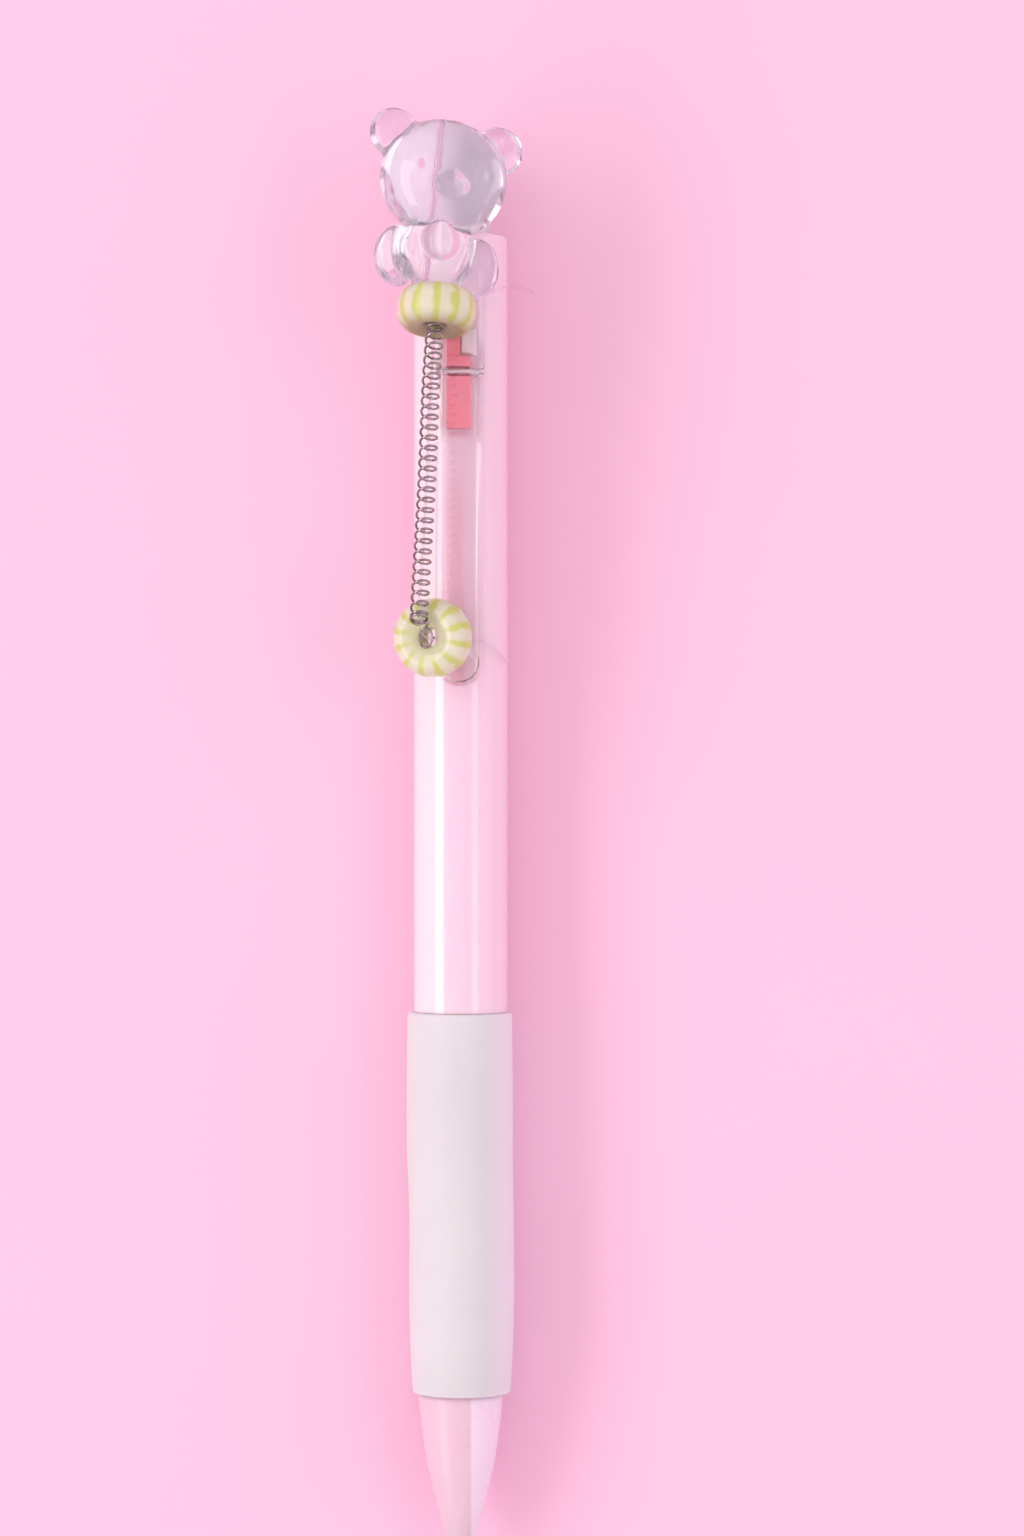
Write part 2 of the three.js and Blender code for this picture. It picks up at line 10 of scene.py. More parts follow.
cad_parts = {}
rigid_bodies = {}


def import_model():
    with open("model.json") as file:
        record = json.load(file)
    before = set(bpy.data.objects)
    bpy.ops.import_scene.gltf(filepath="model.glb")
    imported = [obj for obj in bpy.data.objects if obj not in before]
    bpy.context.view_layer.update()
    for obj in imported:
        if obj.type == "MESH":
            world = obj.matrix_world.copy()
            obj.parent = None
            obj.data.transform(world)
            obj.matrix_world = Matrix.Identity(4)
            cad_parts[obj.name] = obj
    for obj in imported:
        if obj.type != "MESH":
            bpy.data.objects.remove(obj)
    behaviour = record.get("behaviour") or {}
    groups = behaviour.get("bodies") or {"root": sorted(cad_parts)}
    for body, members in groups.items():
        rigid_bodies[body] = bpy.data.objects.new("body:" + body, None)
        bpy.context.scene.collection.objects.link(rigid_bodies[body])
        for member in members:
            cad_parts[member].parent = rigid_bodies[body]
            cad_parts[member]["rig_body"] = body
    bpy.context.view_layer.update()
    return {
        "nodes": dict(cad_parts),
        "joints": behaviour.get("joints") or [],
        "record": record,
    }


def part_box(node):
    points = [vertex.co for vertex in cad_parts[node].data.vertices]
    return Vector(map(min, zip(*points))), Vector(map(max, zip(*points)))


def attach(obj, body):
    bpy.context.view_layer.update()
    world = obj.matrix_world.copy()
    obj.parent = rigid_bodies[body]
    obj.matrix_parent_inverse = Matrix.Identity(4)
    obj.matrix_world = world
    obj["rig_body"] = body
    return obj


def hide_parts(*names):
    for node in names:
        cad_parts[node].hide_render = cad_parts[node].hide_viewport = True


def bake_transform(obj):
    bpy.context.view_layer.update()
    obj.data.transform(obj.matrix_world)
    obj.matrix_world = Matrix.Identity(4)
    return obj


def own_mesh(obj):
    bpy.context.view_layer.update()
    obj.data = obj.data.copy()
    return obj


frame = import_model()

MM = 0.001
JOINTS = {joint["name"]: joint for joint in frame["joints"]}

# ---- places and sizes taken from the frame, in millimetres ----


def box_mm(node):
    low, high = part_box(node)
    return low / MM, high / MM


barrel_low, barrel_high = box_mm("barrel")
grip_low, grip_high = box_mm("grip_sleeve")
cone_low, cone_high = box_mm("front_cone")
knock_low, knock_high = box_mm("knock_button")
clip_low, clip_high = box_mm("clip")
mount_low, mount_high = box_mm("clip_mount")
tube_low, tube_high = box_mm("refill_tube")

AXIS_Z = (grip_low.z + grip_high.z) / 2
BARREL_RADIUS = (barrel_high.x - barrel_low.x) / 2
GRIP_RADIUS = (grip_high.x - grip_low.x) / 2
KNOCK_STEM = 2.95
BARREL_TOP = AXIS_Z + BARREL_RADIUS
PIN = Vector(JOINTS["clip_lift"]["pos_m"]) / MM
BEAR_PLACE = Vector(JOINTS["bear_turn"]["pos_m"]) / MM
BEAR_UP = Vector(JOINTS["bear_turn"]["axis"]).normalized()
BEAR_YAW = math.radians(14)
BEAR_VOXEL = 0.17
STRING_HOLE = 0.45
UPPER_BEAD = Vector(JOINTS["upper_bead_spin"]["pos_m"]) / MM
LOWER_BEAD = Vector(JOINTS["lower_bead_spin"]["pos_m"]) / MM
LOWER_BEAD_AXIS = Vector(JOINTS["lower_bead_spin"]["axis"]).normalized()
STRAND_OFFSET = -0.7
BEAD_RADIUS = 4.05
BEAD_HALF = 2.15
BEAD_HOLE = 1.0
WIRE = 0.13
THREAD = 0.14


# ---- mesh helpers: everything is drawn in millimetres and scaled once ----


def finish_mesh(name, bm, body, material, replaces=(), matrix=None):
    """Turns a bmesh in millimetres into a piece that rides on a body and stands for CAD nodes."""
    bmesh.ops.recalc_face_normals(bm, faces=bm.faces)
    mesh = bpy.data.meshes.new(name)
    bm.to_mesh(mesh)
    bm.free()
    piece = bpy.data.objects.new(name, mesh)
    bpy.context.scene.collection.objects.link(piece)
    mesh.transform(Matrix.Scale(MM, 4))
    if matrix is not None:
        placed = matrix.copy()
        placed.translation = matrix.translation * MM
        piece.matrix_world = placed
    for polygon in mesh.polygons:
        polygon.use_smooth = True
    mesh.materials.append(material)
    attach(piece, body)
    if replaces:
        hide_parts(*replaces)
    return piece


def rounded(points):
    """Replaces each corner (radius, place, fillet) of an outline by an arc of that fillet."""
    steps = 6
    outline = []
    count = len(points)
    for i, (r, y, fillet) in enumerate(points):
        here = Vector((r, y))
        if fillet <= 0:
            outline.append(here)
            continue
        before = Vector(points[i - 1][:2]) - here
        after = Vector(points[(i + 1) % count][:2]) - here
        half_angle = before.angle(after) / 2
        reach = min(fillet / math.tan(half_angle), before.length * 0.49, after.length * 0.49)
        radius = reach * math.tan(half_angle)
        start = here + before.normalized() * reach
        end = here + after.normalized() * reach
        middle = (before.normalized() + after.normalized()).normalized()
        centre = here + middle * (radius / math.sin(half_angle))
        first, last = start - centre, end - centre
        sweep = first.angle_signed(last) if first.length > 1e-9 else 0
        for k in range(steps + 1):
            turn = Matrix.Rotation(-sweep * k / steps, 2)
            outline.append(centre + turn @ first)
    return outline


def turned(points, closed, segments=96, shape=None):
    """A body of revolution about Y. shape(r, y, angle) may push a point about."""
    bm = bmesh.new()
    outline = rounded(points)
    rings = []
    for r, y in outline:
        count = 1 if r < 1e-6 else segments
        ring = []
        for k in range(count):
            angle = 2 * math.pi * k / segments
            place = Vector((r * math.sin(angle), y, r * math.cos(angle)))
            ring.append(bm.verts.new(shape(place, angle) if shape else place))
        rings.append(ring)
    pairs = list(zip(rings, rings[1:])) + ([(rings[-1], rings[0])] if closed else [])
    for low, high in pairs:
        for k in range(segments):
            n = k + 1
            corners = [low[k % len(low)], low[n % len(low)], high[n % len(high)], high[k % len(high)]]
            distinct = list(dict.fromkeys(corners))
            if len(distinct) > 2:
                bm.faces.new(distinct)
    return bm


def on_axis():
    return Matrix.Translation((0, 0, AXIS_Z))


def facing(place, direction):
    """A matrix that puts local Y along direction, at place."""
    turn = Vector((0, 1, 0)).rotation_difference(direction).to_matrix().to_4x4()
    return Matrix.Translation(place) @ turn


def smooth_path(points, steps):
    """A Catmull-Rom curve through points, as a list of places."""
    points = [Vector(p) for p in points]
    ends = [2 * points[0] - points[1], *points, 2 * points[-1] - points[-2]]
    path = []
    for a, b, c, d in zip(ends, ends[1:], ends[2:], ends[3:]):
        for k in range(steps):
            t = k / steps
            square, cube = 2 * a - 5 * b + 4 * c - d, 3 * b - a - 3 * c + d
            path.append((2 * b + (c - a) * t + square * t**2 + cube * t**3) / 2)
    return [*path, points[-1]]


def tube(path, radius, sides=10, closed=False):
    """A round tube along a path, with frames carried along it and closed ends."""
    bm = bmesh.new()
    count = len(path)
    rings = []
    normal = None
    for i, place in enumerate(path):
        if closed:
            tangent = path[(i + 1) % count] - path[i - 1]
        else:
            tangent = path[min(i + 1, count - 1)] - path[max(i - 1, 0)]
        tangent.normalize()
        if normal is None:
            normal = tangent.orthogonal()
        normal = (normal - tangent * normal.dot(tangent)).normalized()
        side = tangent.cross(normal)
        ring = []
        for k in range(sides):
            angle = 2 * math.pi * k / sides
            ring.append(bm.verts.new(place + (normal * math.cos(angle) + side * math.sin(angle)) * radius))
        rings.append(ring)
    pairs = list(zip(rings, rings[1:])) + ([(rings[-1], rings[0])] if closed else [])
    for low, high in pairs:
        for k in range(sides):
            bm.faces.new([low[k], low[(k + 1) % sides], high[(k + 1) % sides], high[k]])
    if not closed:
        bm.faces.new(rings[0])
        bm.faces.new(rings[-1])
    return bm


def coil(centre_line, radius, turns, wire, per_turn=20, lean=0.0, closed_turns=1.0):
    """A helix round an evenly pointed centre line, its end turns wound tight.

    lean tips the turns over, the more so towards the far end.
    """
    spans = len(centre_line) - 1
    length = spans * (centre_line[1] - centre_line[0]).length
    tight = 2.2 * wire
    pitch = (length - 2 * closed_turns * tight) / (turns - 2 * closed_turns)
    path = []
    for i in range(turns * per_turn + 1):
        turn = i / per_turn
        from_end = min(turn, closed_turns) * tight + max(0, turn - closed_turns) * pitch
        from_end -= max(0, turn - (turns - closed_turns)) * (pitch - tight)
        t = min(from_end / length, 1) * spans
        k = min(int(t), spans - 1)
        tangent = (centre_line[k + 1] - centre_line[k]).normalized()
        side = Vector((1, 0.001, 0.001)).cross(tangent).normalized()
        other = tangent.cross(side)
        angle = 2 * math.pi * turn
        slip = tangent * lean * (0.8 + 0.3 * t / spans) * math.cos(angle)
        ring = side * radius * math.cos(angle) + other * radius * math.sin(angle)
        path.append(centre_line[k].lerp(centre_line[k + 1], t - k) + ring + slip)
    return path


def even(path, count):
    """The same path with evenly spaced points."""
    lengths = [0.0]
    for a, b in zip(path, path[1:]):
        lengths.append(lengths[-1] + (b - a).length)
    placed, k = [], 0
    for i in range(count + 1):
        want = lengths[-1] * i / count
        while k < len(path) - 2 and lengths[k + 1] < want:
            k += 1
        span = lengths[k + 1] - lengths[k]
        placed.append(path[k].lerp(path[k + 1], (want - lengths[k]) / span if span else 0))
    return placed


def block(bm, low, high):
    """Adds a box to a bmesh."""
    low, high = Vector(low), Vector(high)
    made = bmesh.ops.create_cube(bm, size=1)["verts"]
    for vert in made:
        vert.co = Vector((low[i] + (vert.co[i] + 0.5) * (high[i] - low[i]) for i in range(3)))


def prism(outline, low, high, along="z"):
    """A bmesh prism of a flat outline, pulled along z, or along x for an outline of (y, z) points."""
    bm = bmesh.new()
    for level in (low, high):
        placed = [(p[0], p[1], level) if along == "z" else (level, p[0], p[1]) for p in outline]
        bm.faces.new([bm.verts.new(p) for p in placed])
    bm.verts.ensure_lookup_table()
    count = len(outline)
    for k in range(count):
        n = (k + 1) % count
        bm.faces.new([bm.verts[k], bm.verts[n], bm.verts[count + n], bm.verts[count + k]])
    bmesh.ops.recalc_face_normals(bm, faces=bm.faces)
    return bm


def ball(centre, radii, segments=40):
    """A sphere or ellipsoid."""
    bm = bmesh.new()
    bmesh.ops.create_uvsphere(bm, u_segments=segments, v_segments=segments // 2, radius=1)
    bmesh.ops.scale(bm, vec=radii, verts=bm.verts)
    bmesh.ops.translate(bm, vec=centre, verts=bm.verts)
    return bm


def rod(start, end, radius):
    """A solid cylinder from start to end."""
    start, end = Vector(start), Vector(end)
    bm = bmesh.new()
    bmesh.ops.create_cone(
        bm, cap_ends=True, segments=40, radius1=radius, radius2=radius, depth=(end - start).length
    )
    turn = Vector((0, 0, 1)).rotation_difference(end - start).to_matrix()
    bmesh.ops.rotate(bm, matrix=turn, verts=bm.verts)
    bmesh.ops.translate(bm, vec=(start + end) / 2, verts=bm.verts)
    return bm


def scratch(bm):
    """A working object from a bmesh, for modifiers to act on."""
    mesh = bpy.data.meshes.new("scratch")
    bm.to_mesh(mesh)
    bm.free()
    made = bpy.data.objects.new("scratch", mesh)
    bpy.context.scene.collection.objects.link(made)
    return made


def evaluated(obj, helpers=()):
    """The object with its modifiers applied, as a bmesh; it and its helpers are removed."""
    bpy.context.view_layer.update()
    graph = bpy.context.evaluated_depsgraph_get()
    bm = bmesh.new()
    bm.from_object(obj, graph)
    for made in (obj, *helpers):
        bpy.data.objects.remove(made)
    return bm


def cut_and_join(base, joined=(), cut=(), bevel=0.1):
    """base joined with and cut by other bmeshes, with its sharp edges rounded."""
    body = scratch(base)
    helpers = []
    for operation, shapes in (("UNION", joined), ("DIFFERENCE", cut)):
        for shape in shapes:
            tool = scratch(shape)
            helpers.append(tool)
            step = body.modifiers.new(operation, "BOOLEAN")
            step.operation, step.object, step.solver = operation, tool, "EXACT"
    edge = body.modifiers.new("edges", "BEVEL")
    edge.width, edge.segments, edge.limit_method = bevel, 3, "ANGLE"
    edge.angle_limit = math.radians(30)
    return evaluated(body, helpers)


# ---- materials ----


def srgb(r, g, b):
    """Linear colour from 0-255 display values."""
    shares = [c / 255 for c in (r, g, b)]
    return tuple(c / 12.92 if c < 0.0405 else ((c + 0.055) / 1.055) ** 2.4 for c in shares) + (1.0,)


def link(tree, a, output, b, socket):
    tree.links.new(a.outputs[output], b.inputs[socket])


def noise(tree, coordinates, scale, detail=3.0, stretch=(1, 1, 1)):
    """A noise node in millimetres of the object's own space."""
    mapping = tree.nodes.new("ShaderNodeMapping")
    mapping.inputs["Scale"].default_value = [1 / MM * s for s in stretch]
    link(tree, coordinates, "Object", mapping, "Vector")
    texture = tree.nodes.new("ShaderNodeTexNoise")
    texture.inputs["Scale"].default_value = scale
    texture.inputs["Detail"].default_value = detail
    link(tree, mapping, "Vector", texture, "Vector")
    return texture


def between(tree, texture, low, high):
    """Noise stretched from its usual middle range to low..high."""
    ranged = tree.nodes.new("ShaderNodeMapRange")
    ranged.inputs["From Min"].default_value = 0.3
    ranged.inputs["From Max"].default_value = 0.7
    ranged.inputs["To Min"].default_value = low
    ranged.inputs["To Max"].default_value = high
    link(tree, texture, "Fac", ranged, "Value")
    return ranged


def two_colours(tree, factor, first, second):
    mix = tree.nodes.new("ShaderNodeMix")
    mix.data_type = "RGBA"
    mix.inputs["A"].default_value = first
    mix.inputs["B"].default_value = second
    link(tree, factor, "Result", mix, "Factor")
    return mix


def surface(name, colour, other, rough, grain=0.25, bump=0.0, bump_scale=8.0, stretch=(1, 1, 1), **sockets):
    """A material with slow colour drift between two tones, uneven roughness and a fine bump."""
    material = bpy.data.materials.new(name)
    material.use_nodes = True
    tree = material.node_tree
    shader = tree.nodes["Principled BSDF"]
    coordinates = tree.nodes.new("ShaderNodeTexCoord")
    drift = between(tree, noise(tree, coordinates, grain, stretch=stretch), 0, 1)
    mix = two_colours(tree, drift, colour, other)
    tree.links.new(mix.outputs["Result"], shader.inputs["Base Color"])
    polish = between(tree, noise(tree, coordinates, grain * 4, 5.0, stretch), *rough)
    link(tree, polish, "Result", shader, "Roughness")
    if bump:
        relief = tree.nodes.new("ShaderNodeBump")
        relief.inputs["Strength"].default_value = 1.0
        relief.inputs["Distance"].default_value = bump * MM
        link(tree, noise(tree, coordinates, bump_scale, 4.0, stretch), "Fac", relief, "Height")
        link(tree, relief, "Normal", shader, "Normal")
    for socket, value in sockets.items():
        shader.inputs[socket.replace("_", " ")].default_value = value
    return material


def sums(tree, operation, a, b=None, c=None):
    """One step of arithmetic on sockets or plain numbers."""
    node = tree.nodes.new("ShaderNodeMath")
    node.operation = operation
    for socket, value in zip(node.inputs, (a, b, c)):
        if isinstance(value, (int, float)):
            socket.default_value = value
        elif value is not None:
            tree.links.new(value, socket)
    return node.outputs[0]


def ramped(tree, value, start, end, low=0.0, high=1.0):
    """A smooth step from low to high as value goes from start to end."""
    node = tree.nodes.new("ShaderNodeMapRange")
    node.interpolation_type = "SMOOTHSTEP"
    for name, number in (("From Min", start), ("From Max", end), ("To Min", low), ("To Max", high)):
        node.inputs[name].default_value = number
    tree.links.new(value, node.inputs["Value"])
    return node.outputs["Result"]


def recoloured(material, other, factor_of):
    """Blends another colour over the base colour; factor_of(tree, x, y, z, noise) gives its share."""
    tree = material.node_tree
    shader = tree.nodes["Principled BSDF"]
    base = shader.inputs["Base Color"].links[0].from_socket
    coordinates = next(n for n in tree.nodes if n.bl_idname == "ShaderNodeTexCoord")
    split = tree.nodes.new("ShaderNodeSeparateXYZ")
    link(tree, coordinates, "Object", split, "Vector")
    axes = [sums(tree, "MULTIPLY", split.outputs[axis], 1 / MM) for axis in "XYZ"]
    grain = noise(tree, coordinates, 0.7).outputs["Fac"]
    mix = tree.nodes.new("ShaderNodeMix")
    mix.data_type = "RGBA"
    mix.inputs["B"].default_value = other
    tree.links.new(base, mix.inputs["A"])
    tree.links.new(factor_of(tree, *axes, grain), mix.inputs["Factor"])
    tree.links.new(mix.outputs["Result"], shader.inputs["Base Color"])
    return material


def milky_pink():
    """Milky pink, with a painted whiter highlight down the left side."""
    material = surface(
        "milky_pink", srgb(243, 215, 227), srgb(241, 209, 224), (0.1, 0.17), 0.06, 0.0015, 1.5, (1, 0.3, 1),
        Subsurface_Weight=0.5, Subsurface_Radius=(1.0, 0.6, 0.8), Subsurface_Scale=0.0015, IOR=1.49,
        Coat_Weight=0.7, Coat_Roughness=0.08,
    )

    # Painted highlight: the base colour turns whiter down the left side, where the key light falls.
    def painted_left_highlight(tree, x, y, z, grain):
        return ramped(tree, x, -0.8, -2.8)

    return recoloured(material, srgb(243, 228, 230), painted_left_highlight)


def silicone():
    """Pale grey, with a painted lilac cast of light down the right side."""
    material = surface(
        "silicone", srgb(218, 221, 220), srgb(213, 215, 215), (0.5, 0.62), 0.12, 0.006, 9.0,
        Subsurface_Weight=0.5, Subsurface_Radius=(1.0, 0.8, 0.9), Subsurface_Scale=0.002, IOR=1.41,
        Sheen_Weight=0.25, Sheen_Roughness=0.4,
    )

    # Painted light: a lilac cast is blended over the base colour down the right side, away from the key
    # light.
    def painted_right_light(tree, x, y, z, grain):
        return ramped(tree, x, 2.2, 4.4, 0, 0.8)

    return recoloured(material, srgb(229, 222, 233), painted_right_light)


def cone_resin():
    """Cloudy pink, painted lighter to the right of the refill's shade."""
    material = surface(
        "cone_resin", srgb(227, 200, 211), srgb(224, 195, 206), (0.24, 0.34), 0.1, 0.0015, 2.0,
        Subsurface_Weight=0.4, Subsurface_Radius=(1.0, 0.6, 0.8), Subsurface_Scale=0.0025, IOR=1.5,
    )

    # Painted light: the nose is blended lighter down its right side, so the left reads as the refill's
    # shade.
    def painted_right_light(tree, x, y, z, grain):
        return ramped(tree, x, 0.9, 1.3)

    return recoloured(material, srgb(239, 219, 234), painted_right_light)


def painted_lit_pink():
    # Painted light: a lighter copy of the barrel's milky pink, for the boss that sits in the clip's shade.
    return surface(
        "painted_lit_pink", srgb(255, 246, 250), srgb(253, 242, 248), (0.15, 0.25), 0.2, 0.002, 4.0,
        Subsurface_Weight=0.5, Subsurface_Radius=(1.0, 0.6, 0.8), Subsurface_Scale=0.001, IOR=1.49,
    )


def off_white_resin():
    return surface(
        "off_white_resin", srgb(240, 238, 242), srgb(232, 230, 236), (0.2, 0.3), 0.2, 0.002, 4.0,
        Subsurface_Weight=0.3, Subsurface_Radius=(1.0, 0.9, 0.9), Subsurface_Scale=0.001, IOR=1.5,
    )


def natural_resin():
    return surface(
        "natural_resin", srgb(243, 241, 236), srgb(234, 231, 226), (0.4, 0.52), 0.3, 0.004, 6.0,
        Subsurface_Weight=0.2, Subsurface_Radius=(1.0, 0.9, 0.8), Subsurface_Scale=0.001, IOR=1.48,
    )


def clear_clip():
    """Clear resin with a painted coral tint along the middle of the arm, for the bracket's colour carried
    by light along the resin and the shade of the gap under it.
    """
    material = surface(
        "clear_clip", srgb(255, 253, 254), srgb(254, 251, 252), (0.02, 0.06), 0.2, 0.002, 0.8,
        Transmission_Weight=1.0, IOR=1.2, Coat_Weight=1.0, Coat_IOR=1.6, Coat_Roughness=0.03,
    )

    # Painted light and shade: a coral tint along the middle of the arm, fading towards the root, stands in
    # for light piped from the bracket and the shaded gap under the arm.
    def painted_piped_light(tree, x, y, z, grain):
        off_middle = sums(tree, "ABSOLUTE", sums(tree, "ADD", x, 0.5))
        across = ramped(tree, off_middle, 0.3, 1.5, 1.0, 0.0)
        along = ramped(tree, y, 70, 81, 1.0, 0.0)
        return sums(tree, "MULTIPLY", across, along)

    return recoloured(material, srgb(254, 234, 237), painted_piped_light)


def coral():
    return surface(
        "coral", srgb(255, 142, 160), srgb(253, 134, 153), (0.25, 0.36), 0.5, 0.004, 6.0,
        Subsurface_Weight=0.3, Subsurface_Radius=(1.0, 0.3, 0.3), Subsurface_Scale=0.001, IOR=1.5,
    )


def wire_steel():
    return surface(
        "wire_steel", srgb(178, 170, 170), srgb(142, 134, 135), (0.08, 0.16), 0.9, 0.002, 5.0, Metallic=1.0,
    )


def turned_steel():
    return surface(
        "turned_steel", srgb(228, 224, 226), srgb(210, 206, 209), (0.2, 0.32), 0.5, 0.002, 3.0, (1, 12, 1),
        Metallic=1.0,
    )


def tungsten():
    return surface("tungsten", srgb(140, 140, 144), srgb(118, 118, 122), (0.08, 0.16), 2.0, Metallic=1.0)


def tube_resin():
    return surface(
        "tube_resin", srgb(246, 246, 246), srgb(240, 241, 243), (0.16, 0.26), 0.2, 0.002, 2.0,
        Transmission_Weight=0.6, IOR=1.49,
    )


def black_ink():
    return surface("black_ink", srgb(18, 18, 24), srgb(24, 22, 30), (0.1, 0.2), 0.3, IOR=1.4)


def grease():
    return surface(
        "grease", srgb(226, 228, 196), srgb(216, 219, 180), (0.1, 0.18), 0.3,
        Transmission_Weight=0.6, IOR=1.45,
    )


def acrylic():
    """Clear resin that turns grey-lilac where it is thick."""
    material = surface(
        "acrylic", srgb(250, 244, 251), srgb(247, 240, 249), (0.0, 0.03), 0.15, 0.0012, 0.5,
        Transmission_Weight=0.92, IOR=1.42,
    )
    tree = material.node_tree
    depth = tree.nodes.new("ShaderNodeVolumeAbsorption")
    depth.inputs["Color"].default_value = (0.2, 0.62, 0.5, 1.0)
    depth.inputs["Density"].default_value = 8
    tree.links.new(depth.outputs["Volume"], tree.nodes["Material Output"].inputs["Volume"])
    return material


def nylon():
    return surface(
        "nylon", srgb(252, 249, 252), srgb(248, 244, 248), (0.04, 0.1), 1.5,
        Transmission_Weight=1.0, IOR=1.3,
    )


def striped_resin():
    """Cream resin with painted olive shade underneath, and twelve soft yellow-green stripes that run from
    hole to hole.
    """
    material = surface(
        "striped_resin", srgb(220, 224, 194), srgb(210, 213, 188), (0.26, 0.38), 0.6, 0.004, 3.0,
        Subsurface_Weight=0.35, Subsurface_Radius=(1.0, 0.8, 0.5), Subsurface_Scale=0.001, IOR=1.5,
        Coat_Weight=0.2, Coat_Roughness=0.15,
    )

    def from_axis(tree, x, z):
        return sums(tree, "SQRT", sums(tree, "MULTIPLY_ADD", x, x, sums(tree, "MULTIPLY", z, z)))

    def stripes(tree, x, y, z, grain):
        drift = sums(tree, "SUBTRACT", grain, 0.5)
        angle = sums(tree, "MULTIPLY", sums(tree, "ARCTAN2", x, z), 12.0)
        wave = sums(tree, "COSINE", sums(tree, "MULTIPLY_ADD", drift, 2.6, angle))
        uneven = sums(tree, "MULTIPLY_ADD", drift, 2.0, wave)
        radius = from_axis(tree, x, z)
        near_hole = ramped(tree, radius, 1.0, 2.8, 0.4, 0.0)
        fading = ramped(tree, radius, 1.4, 3.4, 0.3, 1.0)
        stripe = sums(tree, "MULTIPLY", ramped(tree, uneven, -0.4, 1.0), fading)
        return sums(tree, "MAXIMUM", stripe, near_hole)

    # Painted shade: the bead's underside is blended to dark olive, most of all near the hole.
    def painted_underside_shade(tree, x, y, z, grain):
        below = ramped(tree, y, -0.6, -2.1)
        return sums(tree, "MULTIPLY", below, ramped(tree, from_axis(tree, x, z), 2.2, 3.8, 1.0, 0.35))

    recoloured(material, srgb(197, 207, 110), stripes)
    return recoloured(material, srgb(150, 138, 92), painted_underside_shade)


MATERIALS = {
    "milky_pink_barrel": milky_pink(),
    "silicone_grip": silicone(),
    "cone_resin": cone_resin(),
    "knock_resin": off_white_resin(),
    "cam_resin": natural_resin(),
    "clip_resin": clear_clip(),
    "coral_resin": coral(),
    "steel": wire_steel(),
    "nib_steel": turned_steel(),
    "tungsten": tungsten(),
    "refill_resin": tube_resin(),
    "ink": black_ink(),
    "grease": grease(),
    "clear_acrylic": acrylic(),
    "striped_resin": striped_resin(),
    "nylon": nylon(),
}
for entry in frame["record"]["subparts"]:
    cad = frame["nodes"][entry["node"]]
    cad.data.materials.clear()
    cad.data.materials.append(MATERIALS[entry["material_slot"]])


def piece(name, bm, node, slot, matrix=None):
    """A detailed piece that stands for one CAD node and rides on that node's body."""
    body = frame["nodes"][node]["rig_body"]
    return finish_mesh(name, bm, body, MATERIALS[slot], (node,), matrix)


# ---- barrel, grip, cone ----


def barrel():
    """A tube that is thinner under the grip, with a lip round the knock's hole."""
    front, rear = barrel_low.y, barrel_high.y
    step = grip_high.y + 0.03
    neck, bore, lip = 4.6, 3.75, KNOCK_STEM + 0.1
    outline = [
        (neck, front, 0.1), (neck, step, 0), (BARREL_RADIUS, step, 0.03), (BARREL_RADIUS, rear, 0.45),
        (lip, rear, 0.15), (lip, rear - 1.1, 0), (bore, rear - 1.1, 0), (bore, front, 0.1),
    ]
    return turned(outline, closed=True, segments=128)


def grip():
    """The soft sleeve: it narrows towards the cone, and its lower half has slipped a little sideways."""
    low, high = grip_low.y, grip_high.y
    narrowing, narrowing_length, bore = 0.42, 12, 4.65

    def tapered(y):
        return GRIP_RADIUS - narrowing * max(0, 1 - (y - low) / narrowing_length) ** 1.5

    def slack(place, angle):
        t = (place.y - low) / (high - low)
        lean = 0.1 - 0.2 / (1 + math.exp(-(t - 0.55) * 30))
        swell = 0.05 * math.sin(t * math.pi * 3.2 + 0.4) - 0.04
        r = math.hypot(place.x, place.z)
        grown = (r + swell * (r > 5)) / r
        return Vector((place.x * grown + lean * (place.z > -4.5), place.y, place.z * grown))

    levels = [low + (high - low) * k / 40 for k in range(1, 40)]
    outline = [(tapered(low), low, 0.4)] + [(tapered(y), y, 0) for y in levels]
    outline += [(GRIP_RADIUS, high, 0.55), (bore, high, 0.03), (bore, low, 0.03)]
    return turned(outline, closed=True, segments=128, shape=slack)


def cone():
    """A hollow nose with a slightly curved outside and a spigot that goes into the barrel."""
    shoulder, tip = grip_low.y - 0.03, cone_low.y
    curve = smooth_path([
        (4.46, shoulder, 0), (4.1, -23, 0), (3.63, -26.3, 0), (3.08, -28.9, 0), (2.32, -31.9, 0),
        (1.6, -34.5, 0), (1.2, tip + 0.35, 0),
    ], 5)
    outline = [(0.85, tip, 0.05), (1.05, tip, 0.1)] + [(p.x, p.y, 0) for p in reversed(curve)]
    outline += [(3.65, shoulder, 0), (3.65, cone_high.y, 0.2), (3.1, cone_high.y, 0.1), (3.1, -20.8, 0)]
    outline += [(2.2, -21.6, 0), (2.2, -29, 0), (1.4, -29, 0), (1.35, -33.4, 0), (0.85, -36, 0)]
    return turned(outline, closed=True)


def knock():
    """A domed button with a low collar."""
    low, high = knock_low.y, knock_high.y
    collar, collar_low, collar_high = KNOCK_STEM + 0.2, 98, 99.3
    outline = [
        (0, low, 0), (KNOCK_STEM, low, 0.2), (KNOCK_STEM, collar_low, 0), (collar, collar_low, 0.05),
        (collar, collar_high, 0.05), (KNOCK_STEM, collar_high, 0), (KNOCK_STEM, high - 0.25, 1.3),
        (0, high, 0),
    ]
    return turned(outline, closed=False)


piece("barrel_shell", barrel(), "barrel", "milky_pink_barrel", on_axis())
piece("grip_skin", grip(), "grip_sleeve", "silicone_grip", on_axis())
piece("cone_shell", cone(), "front_cone", "cone_resin", on_axis())
piece("knock_cap", knock(), "knock_button", "knock_resin", on_axis())


# ---- refill and its spring ----

NIB_POINT = -35.7
NIB_REAR = -22.9
SHOULDER = -12.0


